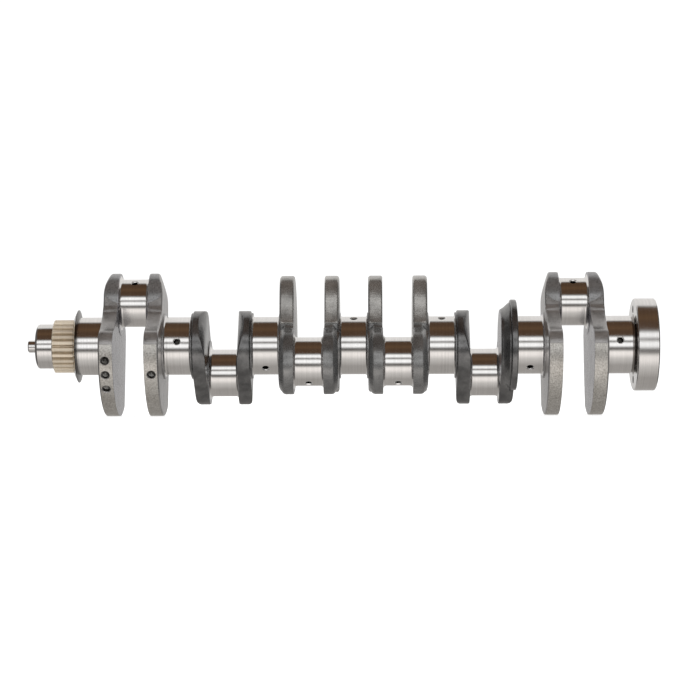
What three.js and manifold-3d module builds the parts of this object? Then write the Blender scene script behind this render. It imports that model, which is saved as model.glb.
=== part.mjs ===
// Crankshaft of an inline-six diesel engine, in millimetres.
// +X runs along the crank axis towards the flywheel flange, +Z is up, and the origin is on the
// crank axis at the middle of the centre main journal. Angles about the axis are in degrees from
// +Z towards -Y, which is a right-handed turn about +X.
// The forging is divided at its machined shoulders into journals, pins, webs and counterweights,
// which meet face to face. The gear, its key, the slinger and the nose sleeve are fitted pieces.

import * as THREE from "three";
import { mergeVertices } from "three/addons/utils/BufferGeometryUtils.js";
import Module from "manifold-3d";

const wasm = await Module();
wasm.setup();

// ---- Driving dimensions ----
const PITCH = 130; // between neighbouring main journals
const THROW = 65; // half of the stroke
const MAIN_R = 43;
const PIN_R = 35.5;
const JOURNAL_HALF = 19.5; // half of the length of a journal or a pin
const PIN_PAD = 3; // thrust pad on the pin side of a web
const WEB_THICK = 21; // web plate without its pads
const PAD_BITE = 1; // how far a pad reaches into its web
const THROW_ANGLES = [-9, 231, 111, 111, 231, -9]; // crankpins 1 to 6

const WEB_MAIN_R = 52; // rounded end of a web about the crank axis
const LOBE_R = [44.5, 48, 48, 48, 48, 44.5]; // rounded ends of the webs about crankpins 1 to 6
const PIN_PAD_STEP = 2; // a pin pad's radius is this much below its lobe's
const MAIN_PAD_R = 49;
const BEVEL_DEPTH = 8; // at the tip of a web's rounded end
const PIN_BEVEL_START = 80; // on the main side, from this distance along the throw outwards
const MAIN_BEVEL_START = -12; // on the pin side of a web with no counterweight

const WEIGHT_R = 104; // counterweight rim
const WEIGHT_FROM = 92.5; // rim's first end, in degrees from the throw
const WEIGHT_TO = 217; // rim's other end
const WEIGHT_FLANK_U = 47; // where the short flank leaves the web
const WEIGHT_NOTCH_U = 44; // where the long flank's neck meets the web
const WEIGHTED_PINS = [0, 2, 3, 5]; // pins whose two webs carry counterweights

const COLLAR_R = 67.5; // thrust collar on the last-but-one main journal
const COLLAR_THICK = 9.5;
const COLLAR_FLARE_R = 64; // where the flared web meets the collar

const OIL_R = 4.5;
const PIN_OIL_ANGLE = 42; // from the throw to the mouth of a pin's oil drilling
const BALANCE_R = 5.75;
const BALANCE_DEPTH = 18;

const FRONT_MAIN_START = -405;
const SNOUT_R = 25;
const SNOUT_FRONT = -471.5;
const FIT_GAP = 0.3; // between the snout and what is fitted on it
const PILOT_R = 9;
const PILOT_FRONT = -485;
const SLEEVE_R = 33;
const SLEEVE_REAR = -445;

const GEAR_TEETH = 26;
const GEAR_MODULE = 2.8;
const GEAR_FRONT = -444.7;
const GEAR_REAR = -411;
const KEY_WIDTH = 10;
const KEY_DEPTH = 4; // in the snout, and the same in the gear
const SLINGER_R = 54;
const SLINGER_EDGE_X = -409;

const NECK_R = 41; // behind the rear main journal
const FLANGE_R = 68.5;
const FLANGE_FRONT = 414.5;
const FLANGE_REAR = 446;
const FLANGE_BOLTS = 8;
const FLANGE_BOLT_R = 6;
const FLANGE_PCD_R = 52;
const FLANGE_PILOT_R = 26;
const FLANGE_PILOT_DEPTH = 20;

const PIN_ROUND = 36; // sides of a journal
const PAD_ROUND = 28;
const HOLE_ROUND = 8;

// ---- Materials ----
const steel = (color, roughness) => new THREE.MeshStandardMaterial({ color, roughness, metalness: 0.9 });
const FORGED = steel(0x5d5b59, 0.6);
const MACHINED = steel(0x9a978f, 0.45);
const GROUND = steel(0xd2d4d6, 0.15);
const GEAR_STEEL = steel(0xb59f78, 0.4);
const PRESSED = steel(0xb9bbbd, 0.35);

// ---- Geometry helpers ----
const degrees = THREE.MathUtils.degToRad;

// Points of an arc about (cx, cy), both ends included.
function arc(cx, cy, radius, from, to, steps) {
  const points = [];
  for (let i = 0; i <= steps; i++) {
    const angle = degrees(from + ((to - from) * i) / steps);
    points.push(new THREE.Vector2(cx + radius * Math.cos(angle), cy + radius * Math.sin(angle)));
  }
  return points;
}

// A solid of revolution about X from a profile of [x, radius] points in the order of growing x
// on the outside. A ring's profile returns to its first point.
function turned(profile, sides = PIN_ROUND) {
  const points = profile.map(([x, radius]) => new THREE.Vector2(radius, x));
  const geometry = new THREE.LatheGeometry(points, sides);
  geometry.rotateZ(-Math.PI / 2);
  return geometry;
}

const cylinder = (x0, x1, radius, sides = PIN_ROUND) =>
  turned([[x0, 0], [x0, radius], [x1, radius], [x1, 0]], sides);

// A plate from x0 to x1. The outline's first coordinate points up and its second towards -Y.
function plate(points, x0, x1) {
  const shape = new THREE.Shape(points);
  const geometry = new THREE.ExtrudeGeometry(shape, { depth: x1 - x0, bevelEnabled: false });
  const up = new THREE.Vector3(0, 0, 1);
  const front = new THREE.Vector3(0, -1, 0);
  const along = new THREE.Vector3(1, 0, 0);
  geometry.applyMatrix4(new THREE.Matrix4().makeBasis(up, front, along));
  geometry.translate(x0, 0, 0);
  return geometry;
}

// A round tool between two points.
function drilling(from, to, radius, sides = HOLE_ROUND) {
  const length = from.distanceTo(to);
  const geometry = new THREE.CylinderGeometry(radius, radius, length, sides);
  const direction = to.clone().sub(from).normalize();
  const turn = new THREE.Quaternion().setFromUnitVectors(new THREE.Vector3(0, 1, 0), direction);
  geometry.applyQuaternion(turn);
  const middle = from.clone().add(to).multiplyScalar(0.5);
  geometry.translate(middle.x, middle.y, middle.z);
  return geometry;
}

// The point at a radius and an angle about the crank axis.
function polar(x, radius, angle) {
  const a = degrees(angle);
  return new THREE.Vector3(x, -radius * Math.sin(a), radius * Math.cos(a));
}

function toManifold(geometry) {
  const bare = geometry.clone();
  bare.deleteAttribute("normal");
  bare.deleteAttribute("uv");
  const merged = mergeVertices(bare, 1e-4);
  const vertProperties = new Float32Array(merged.attributes.position.array);
  const triVerts = new Uint32Array(merged.index.array);
  return new wasm.Manifold(new wasm.Mesh({ numProp: 3, vertProperties, triVerts }));
}

function toGeometry(solid) {
  const mesh = solid.getMesh();
  const geometry = new THREE.BufferGeometry();
  geometry.setAttribute("position", new THREE.BufferAttribute(new Float32Array(mesh.vertProperties), 3));
  geometry.setIndex(new THREE.BufferAttribute(new Uint32Array(mesh.triVerts), 1));
  return geometry;
}

// The first geometry joined with the added ones, less the cut ones.
function carve(base, added, cut) {
  let solid = toManifold(base);
  for (const geometry of added) {
    solid = solid.add(toManifold(geometry));
  }
  for (const geometry of cut) {
    solid = solid.subtract(toManifold(geometry));
  }
  return toGeometry(solid);
}

function piece(name, geometry, material) {
  const mesh = new THREE.Mesh(geometry, material);
  mesh.name = name;
  return mesh;
}

// ---- Places along the axis ----
const mainX = (i) => (i - 3) * PITCH; // main journals 0 to 6
const pinX = (i) => (i - 2.5) * PITCH; // crankpins 0 to 5

// ---- Oil drillings ----
// Each pin is fed from the main journal behind it: a slanting drilling runs from the pin's surface
// to the middle of that journal, where it meets a drilling straight across the journal.
const OVERSHOOT = 3; // a tool starts this far outside the surface that it enters

function pinMouth(i) {
  const surface = THROW_ANGLES[i];
  const centre = polar(pinX(i), THROW, surface);
  return centre.add(polar(0, PIN_R, surface + PIN_OIL_ANGLE));
}

function slantDrilling(i) {
  const end = new THREE.Vector3(mainX(i + 1), 0, 0);
  const mouth = pinMouth(i);
  const outwards = mouth.clone().sub(end).normalize();
  return drilling(mouth.addScaledVector(outwards, OVERSHOOT), end, OIL_R);
}

function crossDrilling(main) {
  const angle = THROW_ANGLES[main - 1] + 90;
  const reach = MAIN_R + OVERSHOOT;
  return drilling(polar(mainX(main), reach, angle), polar(mainX(main), -reach, angle), OIL_R);
}

// ---- Journals and pins ----
function mainJournal(i) {
  const start = i === 0 ? FRONT_MAIN_START : mainX(i) - JOURNAL_HALF;
  const body = cylinder(start, mainX(i) + JOURNAL_HALF, MAIN_R);
  const cuts = i === 0 ? [] : [crossDrilling(i), slantDrilling(i - 1)];
  return piece(`main_journal_${i + 1}`, carve(body, [], cuts), GROUND);
}

// A pin is made with its throw straight up, and its group turns it.
function unturned(geometry, i) {
  return geometry.rotateX(-degrees(THROW_ANGLES[i]));
}

function crankpin(i) {
  const body = cylinder(pinX(i) - JOURNAL_HALF, pinX(i) + JOURNAL_HALF, PIN_R);
  body.translate(0, 0, THROW);
  return piece(`crankpin_${i + 1}`, carve(body, [], [unturned(slantDrilling(i), i)]), GROUND);
}

// ---- Webs and counterweights ----
const LOBE_STEPS = 14;

// Where the straight sides of a web touch its two rounded ends, in degrees from the throw.
const tangent = (lobeR) => THREE.MathUtils.radToDeg(Math.acos((WEB_MAIN_R - lobeR) / THROW));

// Half of the web's width where its straight side passes the height u.
function halfWidth(u, lobeR) {
  const a = degrees(tangent(lobeR));
  const slope = -Math.cos(a) / Math.sin(a);
  return WEB_MAIN_R * Math.sin(a) + slope * (u - WEB_MAIN_R * Math.cos(a));
}

function webOutline(lobeR) {
  const side = tangent(lobeR);
  return [
    ...arc(THROW, 0, lobeR, -side, side, LOBE_STEPS),
    ...arc(0, 0, WEB_MAIN_R, side, 360 - side, LOBE_STEPS),
  ];
}

// The counterweight wraps round the axis end of its web. hand is 1 where its short flank is on
// the +90 degree side of the throw, and -1 where it is mirrored.
function weightOutline(hand, lobeR) {
  const side = tangent(lobeR);
  const points = [
    new THREE.Vector2(WEIGHT_FLANK_U, halfWidth(WEIGHT_FLANK_U, lobeR)),
    ...arc(0, 0, WEIGHT_R, WEIGHT_FROM, WEIGHT_TO, 18),
    new THREE.Vector2(-40, -65),
    new THREE.Vector2(24, -65),
    new THREE.Vector2(34, -60),
    new THREE.Vector2(WEIGHT_NOTCH_U, -halfWidth(WEIGHT_NOTCH_U, lobeR)),
    ...arc(0, 0, WEB_MAIN_R, 360 - side, side, LOBE_STEPS),
  ];
  if (hand > 0) {
    return points;
  }
  return points.map((p) => new THREE.Vector2(p.x, -p.y)).reverse();
}

// A span along X that starts at the pin's shoulder and grows towards the main journal.
function span(i, side, near, far) {
  const a = pinX(i) + side * near;
  const b = pinX(i) + side * far;
  return [Math.min(a, b), Math.max(a, b)];
}

const PLATE_NEAR = JOURNAL_HALF + PIN_PAD;
const PLATE_FAR = PLATE_NEAR + WEB_THICK;
const MAIN_SHOULDER = PITCH / 2 - JOURNAL_HALF;

// A wedge that bevels the end of a web at a plate face, `face` away from the pin along X. It has
// no depth at the height `from`, and BEVEL_DEPTH at the tip `to`. inwards points into the plate.
function bevel(i, side, face, inwards, from, to) {
  const beyond = to + Math.sign(to - from) * OVERSHOOT;
  const depth = (BEVEL_DEPTH * (beyond - from)) / (to - from);
  const start = pinX(i) + side * face;
  const outside = start - side * inwards;
  const inside = start + side * inwards * depth;
  const corners = [[start, from], [inside, beyond], [outside, beyond], [outside, from]];
  const shape = new THREE.Shape(corners.map(([x, u]) => new THREE.Vector2(x, u)));
  const width = 2 * (WEB_MAIN_R + OVERSHOOT);
  const geometry = new THREE.ExtrudeGeometry(shape, { depth: width, bevelEnabled: false });
  geometry.translate(0, 0, -width / 2);
  return geometry.rotateX(Math.PI / 2);
}

const COLLAR_NEAR = MAIN_SHOULDER - COLLAR_THICK;
const COLLAR_WEB = 10;

function web(i, side) {
  const number = 2 * i + (side < 0 ? 1 : 2);
  const lobeR = LOBE_R[i];
  const padR = lobeR - PIN_PAD_STEP;
  const body = plate(webOutline(lobeR), ...span(i, side, PLATE_NEAR, PLATE_FAR));
  const pinPad = cylinder(...span(i, side, JOURNAL_HALF, PLATE_NEAR + PAD_BITE), padR, PAD_ROUND);
  pinPad.translate(0, 0, THROW);
  const added = [pinPad];
  const cuts = [bevel(i, side, PLATE_FAR, -1, PIN_BEVEL_START, THROW + lobeR)];
  if (number === COLLAR_WEB) {
    // The web flares out to the collar, and makes room for it.
    const [start, end] = span(i, side, PLATE_NEAR + PAD_BITE, COLLAR_NEAR);
    added.push(turned([[start, 0], [start, WEB_MAIN_R], [end, COLLAR_FLARE_R], [end, 0]]));
    cuts.push(cylinder(...span(i, side, COLLAR_NEAR, MAIN_SHOULDER + 1), COLLAR_R + FIT_GAP));
  } else {
    added.push(cylinder(...span(i, side, PLATE_FAR - PAD_BITE, MAIN_SHOULDER), MAIN_PAD_R, PAD_ROUND));
  }
  if (!WEIGHTED_PINS.includes(i) && number !== COLLAR_WEB) {
    cuts.push(bevel(i, side, PLATE_NEAR, 1, MAIN_BEVEL_START, -WEB_MAIN_R));
  }
  if (side > 0) {
    cuts.push(unturned(slantDrilling(i), i));
  }
  const name = `web_${String(number).padStart(2, "0")}`;
  return piece(name, carve(body, added, cuts), FORGED);
}

// Balance drillings in the rims: the web's number, the middle of each hole along X and its angles
// from the throw.
const BALANCE = { 1: { x: -358.5, angles: [110.7, 122.8, 135.8] }, 2: { x: -292, angles: [122.6] } };

function counterweight(i, side, hand) {
  const number = 2 * i + (side < 0 ? 1 : 2);
  const body = plate(weightOutline(hand, LOBE_R[i]), ...span(i, side, PLATE_NEAR, PLATE_FAR));
  const { x, angles } = BALANCE[number] ?? { x: 0, angles: [] };
  const cuts = angles.map((angle) =>
    drilling(polar(x, WEIGHT_R + OVERSHOOT, angle), polar(x, WEIGHT_R - BALANCE_DEPTH, angle), BALANCE_R));
  const name = `counterweight_${String(number).padStart(2, "0")}`;
  return piece(name, carve(body, [], cuts), MACHINED);
}

function thrustCollar() {
  const end = pinX(4) + MAIN_SHOULDER;
  const start = pinX(4) + COLLAR_NEAR;
  const chamfer = 2;
  const profile = [
    [start, 0],
    [start, COLLAR_R - chamfer],
    [start + chamfer, COLLAR_R],
    [end - chamfer, COLLAR_R],
    [end, COLLAR_R - chamfer],
    [end, 0],
  ];
  return piece("thrust_collar", carve(turned(profile), [], [slantDrilling(4)]), MACHINED);
}

function throwGroup(i) {
  const group = new THREE.Group();
  group.add(crankpin(i), web(i, -1), web(i, 1));
  if (WEIGHTED_PINS.includes(i)) {
    const hand = THROW_ANGLES[i] === 111 ? -1 : 1;
    group.add(counterweight(i, -1, hand), counterweight(i, 1, hand));
  }
  group.rotation.x = degrees(THROW_ANGLES[i]);
  return group;
}

// ---- Nose ----
function keySlotTool(inner, outer, x0, x1, width) {
  const half = width / 2;
  const corners = [[inner, -half], [outer, -half], [outer, half], [inner, half]];
  return plate(corners.map(([u, v]) => new THREE.Vector2(u, v)), x0, x1);
}

const KEY_FRONT = GEAR_FRONT + 3;
const KEY_REAR = GEAR_REAR - 3;

function snout() {
  const body = cylinder(SNOUT_FRONT, FRONT_MAIN_START, SNOUT_R, PAD_ROUND);
  const slot = keySlotTool(SNOUT_R - KEY_DEPTH, SNOUT_R + OVERSHOOT, KEY_FRONT, KEY_REAR, KEY_WIDTH);
  return piece("snout", carve(body, [], [slot]), GROUND);
}

function gearKey() {
  const body = keySlotTool(SNOUT_R - KEY_DEPTH + FIT_GAP, SNOUT_R + KEY_DEPTH - FIT_GAP,
    KEY_FRONT + FIT_GAP, KEY_REAR - FIT_GAP, KEY_WIDTH - 2 * FIT_GAP);
  return piece("gear_key", body, PRESSED);
}

function gearOutline() {
  const pitchR = (GEAR_TEETH * GEAR_MODULE) / 2;
  const rootR = pitchR - 1.25 * GEAR_MODULE;
  const tipR = pitchR + GEAR_MODULE;
  const step = 360 / GEAR_TEETH;
  // Half-angles of a tooth, as shares of the angle from tooth to tooth.
  const rows = [[rootR, -0.37], [pitchR, -0.25], [tipR, -0.13], [tipR, 0.13], [pitchR, 0.25], [rootR, 0.37]];
  const points = [];
  for (let tooth = 0; tooth < GEAR_TEETH; tooth++) {
    for (const [radius, share] of rows) {
      const angle = degrees((tooth + share) * step);
      points.push(new THREE.Vector2(radius * Math.cos(angle), radius * Math.sin(angle)));
    }
  }
  return points;
}

function timingGear() {
  const body = plate(gearOutline(), GEAR_FRONT, GEAR_REAR);
  const bore = cylinder(GEAR_FRONT - 1, GEAR_REAR + 1, SNOUT_R + FIT_GAP, PAD_ROUND);
  const slot = keySlotTool(0, SNOUT_R + KEY_DEPTH, GEAR_FRONT - 1, GEAR_REAR + 1, KEY_WIDTH);
  return piece("timing_gear", carve(body, [], [bore, slot]), GEAR_STEEL);
}

// A thin disc whose rim widens into a double bevel with a sharp edge, dished round the gear's end.
function oilSlinger() {
  const inner = SNOUT_R + FIT_GAP;
  const front = GEAR_REAR + FIT_GAP;
  const profile = [
    [front, inner],
    [front, 42],
    [front - 2, 45],
    [SLINGER_EDGE_X - 0.7, SLINGER_R],
    [SLINGER_EDGE_X + 0.7, SLINGER_R],
    [FRONT_MAIN_START - 0.3, 46],
    [FRONT_MAIN_START - 0.3, inner],
    [front, inner],
  ];
  return piece("oil_slinger", turned(profile), PRESSED);
}

function noseSleeve() {
  const inner = SNOUT_R + FIT_GAP;
  const profile = [
    [SNOUT_FRONT, inner],
    [SNOUT_FRONT, SLEEVE_R - 1.5],
    [SNOUT_FRONT + 1.5, SLEEVE_R],
    [SLEEVE_REAR, SLEEVE_R],
    [SLEEVE_REAR, inner],
    [SNOUT_FRONT, inner],
  ];
  return piece("nose_sleeve", turned(profile, PAD_ROUND), GROUND);
}

function frontPilot() {
  const profile = [
    [PILOT_FRONT, 0],
    [PILOT_FRONT, PILOT_R - 1.5],
    [PILOT_FRONT + 1.5, PILOT_R],
    [SNOUT_FRONT, PILOT_R],
    [SNOUT_FRONT, 0],
  ];
  return piece("front_pilot", turned(profile, 24), GROUND);
}

// ---- Flywheel end ----
function rearFlange() {
  const chamfer = 2.5;
  const profile = [
    [FLANGE_FRONT, 0],
    [FLANGE_FRONT, FLANGE_R - chamfer],
    [FLANGE_FRONT + chamfer, FLANGE_R],
    [FLANGE_REAR - chamfer, FLANGE_R],
    [FLANGE_REAR, FLANGE_R - chamfer],
    [FLANGE_REAR, 0],
  ];
  const cuts = [cylinder(FLANGE_REAR - FLANGE_PILOT_DEPTH, FLANGE_REAR + 1, FLANGE_PILOT_R, PAD_ROUND)];
  for (let bolt = 0; bolt < FLANGE_BOLTS; bolt++) {
    const angle = (360 * bolt) / FLANGE_BOLTS;
    const front = polar(FLANGE_FRONT - 1, FLANGE_PCD_R, angle);
    const rear = polar(FLANGE_REAR + 1, FLANGE_PCD_R, angle);
    cuts.push(drilling(front, rear, FLANGE_BOLT_R));
  }
  return piece("rear_flange", carve(turned(profile), [], cuts), GROUND);
}

function rearNeck() {
  return piece("rear_neck", cylinder(mainX(6) + JOURNAL_HALF, FLANGE_FRONT, NECK_R), MACHINED);
}

// ---- Assembly ----
const crankshaft = new THREE.Group();
crankshaft.add(frontPilot(), snout(), noseSleeve(), timingGear(), gearKey(), oilSlinger());
for (let i = 0; i < 7; i++) {
  crankshaft.add(mainJournal(i));
}
for (let i = 0; i < 6; i++) {
  crankshaft.add(throwGroup(i));
}
crankshaft.add(thrustCollar(), rearNeck(), rearFlange());

export default crankshaft;
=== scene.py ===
import math

import bpy
import numpy as np
from mathutils import Matrix, Vector


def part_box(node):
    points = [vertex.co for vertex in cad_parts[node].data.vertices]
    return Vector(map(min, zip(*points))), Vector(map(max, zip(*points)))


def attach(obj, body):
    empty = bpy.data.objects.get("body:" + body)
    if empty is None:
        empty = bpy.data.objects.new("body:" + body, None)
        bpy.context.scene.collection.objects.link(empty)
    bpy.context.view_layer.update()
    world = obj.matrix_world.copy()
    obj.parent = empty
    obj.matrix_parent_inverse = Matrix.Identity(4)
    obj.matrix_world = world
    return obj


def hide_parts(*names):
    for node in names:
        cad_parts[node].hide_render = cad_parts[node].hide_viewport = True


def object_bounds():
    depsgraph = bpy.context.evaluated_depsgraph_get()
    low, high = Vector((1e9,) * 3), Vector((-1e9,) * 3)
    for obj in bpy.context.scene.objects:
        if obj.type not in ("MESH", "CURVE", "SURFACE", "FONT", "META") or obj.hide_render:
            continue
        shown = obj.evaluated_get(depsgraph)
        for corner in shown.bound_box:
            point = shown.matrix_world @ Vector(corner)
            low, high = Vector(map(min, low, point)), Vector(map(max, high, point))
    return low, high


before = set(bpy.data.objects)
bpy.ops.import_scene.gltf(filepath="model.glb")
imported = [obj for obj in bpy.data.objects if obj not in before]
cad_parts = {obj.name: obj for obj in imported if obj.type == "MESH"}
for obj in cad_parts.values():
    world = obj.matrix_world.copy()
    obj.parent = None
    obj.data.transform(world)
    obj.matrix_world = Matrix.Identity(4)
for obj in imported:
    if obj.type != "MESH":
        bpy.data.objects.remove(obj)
CAD_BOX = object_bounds()
MM = 0.001


def cad_span(node):
    """Both ends of a CAD node along X, in millimetres."""
    low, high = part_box(node)
    return low.x / MM, high.x / MM


def cad_centre(node):
    low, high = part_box(node)
    return (np.array(low) + np.array(high)) / 2 / MM


# ---- Sizes ----
MAIN_R = 43.0
PIN_R = 35.5
HALF = 19.5  # half of a journal's or a pin's length
THROW = 65.0
END_LOBE_R, MID_LOBE_R = 44.3, 47.8  # a web's rounded end about pins 1 and 6, and about the others
WEB_R = 52.0  # its rounded end about the crank axis
PLATE_NEAR = 22.5  # both faces of the web plate, as distances from the pin's middle along the axis
PLATE_FAR = 43.5
SHOULDER = 45.5  # the end of the pad between the web and the main journal
MAIN_PAD_R = 49.0
FACING_R = 49.0  # the milled facing round a pin
FACING_STEP = 0.8  # how far it stands proud of the web
WEIGHT_R = 103.85
COLLAR_R = 67.5
COLLAR_NEAR = 36.0  # where the thrust collar starts, measured as PLATE_NEAR is
MAIN_FILLET = 2.6
PIN_FILLET = 5.0
OIL_R = 4.4
OIL_CHAMFER = 1.4
OIL_DEPTH = 21.0  # of the part of an oil drilling that is modelled
PIN_OIL_ANGLE = 42.0  # from the throw to the mouth of a pin's oil drilling
SNOUT_R, FIT_R = 25.0, 25.3  # the snout, and the bores of the pieces that sit on it
STUB_R, SLEEVE_R, NECK_R = 9.0, 33.0, 41.0


# ---- Materials ----
class Shader:
    """A node material that is put together one node at a time."""

    def __init__(self, name):
        self.material = bpy.data.materials.new(name)
        self.material.use_nodes = True
        self.tree = self.material.node_tree
        self.bsdf = self.tree.nodes["Principled BSDF"]
        self.place = self.tree.nodes.new("ShaderNodeTexCoord").outputs["Object"]

    def link(self, source, target):
        self.tree.links.new(source, target)

    def node(self, kind, settings=None, **inputs):
        node = self.tree.nodes.new(kind)
        for key, value in (settings or {}).items():
            setattr(node, key, value)
        for key, value in inputs.items():
            socket = node.inputs[key.replace("_", " ")]
            if isinstance(value, bpy.types.NodeSocket):
                self.link(value, socket)
            else:
                socket.default_value = value
        return node

    def stretched(self, scale):
        """Object coordinates, scaled differently along each axis."""
        return self.node("ShaderNodeMapping", Vector=self.place, Scale=scale).outputs["Vector"]

    def noise(self, scale, detail=3.0, roughness=0.55, vector=None):
        vector = vector or self.place
        return self.node("ShaderNodeTexNoise", Vector=vector, Scale=scale, Detail=detail,
                         Roughness=roughness).outputs["Fac"]

    def ramp(self, factor, stops):
        node = self.node("ShaderNodeValToRGB", Fac=factor)
        elements = node.color_ramp.elements
        while len(elements) < len(stops):
            elements.new(0.5)
        for element, (place, color) in zip(elements, stops):
            element.position = place
            element.color = (*color, 1.0)
        return node.outputs["Color"]

    def spread(self, factor, low, high):
        """A factor that runs from 0.3 to 0.7, mapped onto low to high."""
        node = self.node("ShaderNodeMapRange", Value=factor)
        node.inputs["From Min"].default_value = 0.3
        node.inputs["From Max"].default_value = 0.7
        node.inputs["To Min"].default_value = low
        node.inputs["To Max"].default_value = high
        return node.outputs["Result"]

    def mix(self, mode, factor, a, b):
        node = self.node("ShaderNodeMix", {"data_type": "RGBA", "blend_type": mode})
        for index, value in ((0, factor), (6, a), (7, b)):
            if isinstance(value, bpy.types.NodeSocket):
                self.link(value, node.inputs[index])
            else:
                node.inputs[index].default_value = value
        return node.outputs[2]

    def bump(self, height, distance, strength=1.0, under=None):
        node = self.node("ShaderNodeBump", Height=height, Distance=distance, Strength=strength)
        if under is not None:
            self.link(under, node.inputs["Normal"])
        return node.outputs["Normal"]

    def finish(self, color, roughness, normal=None, metallic=1.0):
        for key, value in (("Base Color", color), ("Roughness", roughness), ("Metallic", metallic)):
            if isinstance(value, bpy.types.NodeSocket):
                self.link(value, self.bsdf.inputs[key])
            else:
                self.bsdf.inputs[key].default_value = value
        if normal is not None:
            self.link(normal, self.bsdf.inputs["Normal"])
        return self.material


PURE = (1.0, 1.0, 1.0)


def ground_steel(name, color, low_rough, high_rough, line_depth=4e-6, metallic=1.0):
    """Ground round the axis: fine lines that run round it, and faint bands across them."""
    s = Shader(name)
    lines = s.noise(1.0, 4.0, 0.6, s.stretched((5200.0, 30.0, 30.0)))
    bands = s.noise(1.0, 3.0, 0.6, s.stretched((420.0, 4.0, 4.0)))
    smears = s.noise(22.0, 4.0, 0.6)
    dark = tuple(c * 0.91 for c in color)
    tone = s.ramp(bands, [(0.35, dark), (0.65, color)])
    tone = s.mix("MULTIPLY", 0.35, tone, s.ramp(smears, [(0.3, (0.82, 0.81, 0.8)), (0.6, PURE)]))
    rough = s.spread(s.mix("MIX", 0.5, lines, smears), low_rough, high_rough)
    return s.finish(tone, rough, s.bump(lines, line_depth), metallic)


def forged_steel(name, dark, light, low_rough, high_rough, metallic=1.0):
    """Shot-blasted forging: fine pits, soft dents and blotches of scale."""
    s = Shader(name)
    blotch = s.noise(38.0, 5.0, 0.62)
    grain = s.noise(900.0, 3.0, 0.6)
    dents = s.noise(120.0, 3.0, 0.5)
    tone = s.ramp(blotch, [(0.32, dark), (0.66, light)])
    tone = s.mix("MULTIPLY", 0.5, tone, s.ramp(grain, [(0.35, (0.62, 0.61, 0.6)), (0.6, PURE)]))
    rough = s.spread(s.mix("MIX", 0.5, blotch, grain), low_rough, high_rough)
    normal = s.bump(dents, 0.00035, 0.6)
    return s.finish(tone, rough, s.bump(grain, 0.00009, 0.8, normal), metallic)


def machined_steel(name, dark, light, low_rough, high_rough, metallic=1.0):
    """Turned or milled: tool lines, with a speckle of small light and dark grains."""
    s = Shader(name)
    lines = s.noise(1.0, 3.0, 0.6, s.stretched((2600.0, 60.0, 60.0)))
    speckle = s.noise(520.0, 4.0, 0.7)
    blotch = s.noise(45.0, 4.0, 0.6)
    tone = s.ramp(speckle, [(0.34, dark), (0.62, light)])
    tone = s.mix("MULTIPLY", 0.45, tone, s.ramp(blotch, [(0.32, (0.68, 0.66, 0.63)), (0.62, PURE)]))
    rough = s.spread(s.mix("MIX", 0.5, lines, speckle), low_rough, high_rough)
    normal = s.bump(speckle, 0.00006, 0.5)
    return s.finish(tone, rough, s.bump(lines, 0.00002, 0.6, normal), metallic)


# Each call gives a dark and a light tone, or one colour, then the lowest and the highest roughness.
# FORGED is for the unweighted webs and the collar, FORGED_WEB_SHADE for the middle webs, a darker
# tone that paints the shade of their lobes, FORGED_MID for their counterweights, and FORGED_LIGHT
# for the end webs with their counterweights.
GROUND = ground_steel("ground_steel", (0.86, 0.85, 0.84), 0.11, 0.17)
FORGED = forged_steel("forged_scale", (0.12, 0.12, 0.122), (0.26, 0.26, 0.26), 0.18, 0.28, 0.92)
FORGED_WEB_SHADE = forged_steel("forged_grey_painted_shade", (0.17, 0.17, 0.17), (0.31, 0.31, 0.308), 0.22, 0.33, 0.85)
FORGED_MID = forged_steel("forged_mid_grey", (0.29, 0.285, 0.275), (0.5, 0.49, 0.47), 0.21, 0.31,
                          0.85)
FORGED_LIGHT = forged_steel("forged_light", (0.28, 0.275, 0.27), (0.47, 0.46, 0.455), 0.24, 0.35,
                            0.85)
LOBE_RIM = machined_steel("lobe_rim", (0.21, 0.212, 0.215), (0.36, 0.363, 0.37), 0.24, 0.36, 0.82)
WEIGHT_RIM = machined_steel("weight_rim", (0.36, 0.345, 0.32), (0.74, 0.725, 0.69), 0.27, 0.4, 0.95)
FACED = machined_steel("faced_steel", (0.31, 0.305, 0.32), (0.41, 0.405, 0.425), 0.22, 0.32, 0.8)
# The next material is steel given a near-black tone: painted shade for the insides of the oil
# drillings and of the flange's bolt threads.
BORE_SHADE = machined_steel("bore_painted_shade", (0.08, 0.076, 0.072), (0.18, 0.175, 0.165), 0.3, 0.5)
# This one is drilled steel darkened as painted shade, for the insides of the balance drillings.
BALANCE_HOLE_SHADE = machined_steel("balance_hole_painted_shade", (0.14, 0.137, 0.13), (0.34, 0.335, 0.32), 0.25, 0.4)
EDGE = machined_steel("bright_edge", (0.8, 0.79, 0.78), (0.95, 0.94, 0.93), 0.2, 0.3, 0.8)
POLISHED = ground_steel("polished_steel", (0.84, 0.83, 0.82), 0.1, 0.16)
TURNED = ground_steel("turned_steel", (0.84, 0.83, 0.82), 0.14, 0.22, 1.2e-5)
NECK = ground_steel("dull_turned_steel", (0.3, 0.28, 0.265), 0.16, 0.25, 1.2e-5)
GEAR = ground_steel("straw_tint_steel", (0.76, 0.665, 0.53), 0.3, 0.45, 1e-5, 0.68)
# A near-black steel: painted shade and painted dark reflection for the slinger's rim, its bevel
# towards the hub and its bore, and for the gear key.
SHADE_STEEL = ground_steel("steel_painted_shade", (0.04, 0.035, 0.03), 0.14, 0.22, 1e-5)


# ---- Meshes ----
def linked(name, data):
    """A new object in the scene."""
    obj = bpy.data.objects.new(name, data)
    bpy.context.scene.collection.objects.link(obj)
    return obj


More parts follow.
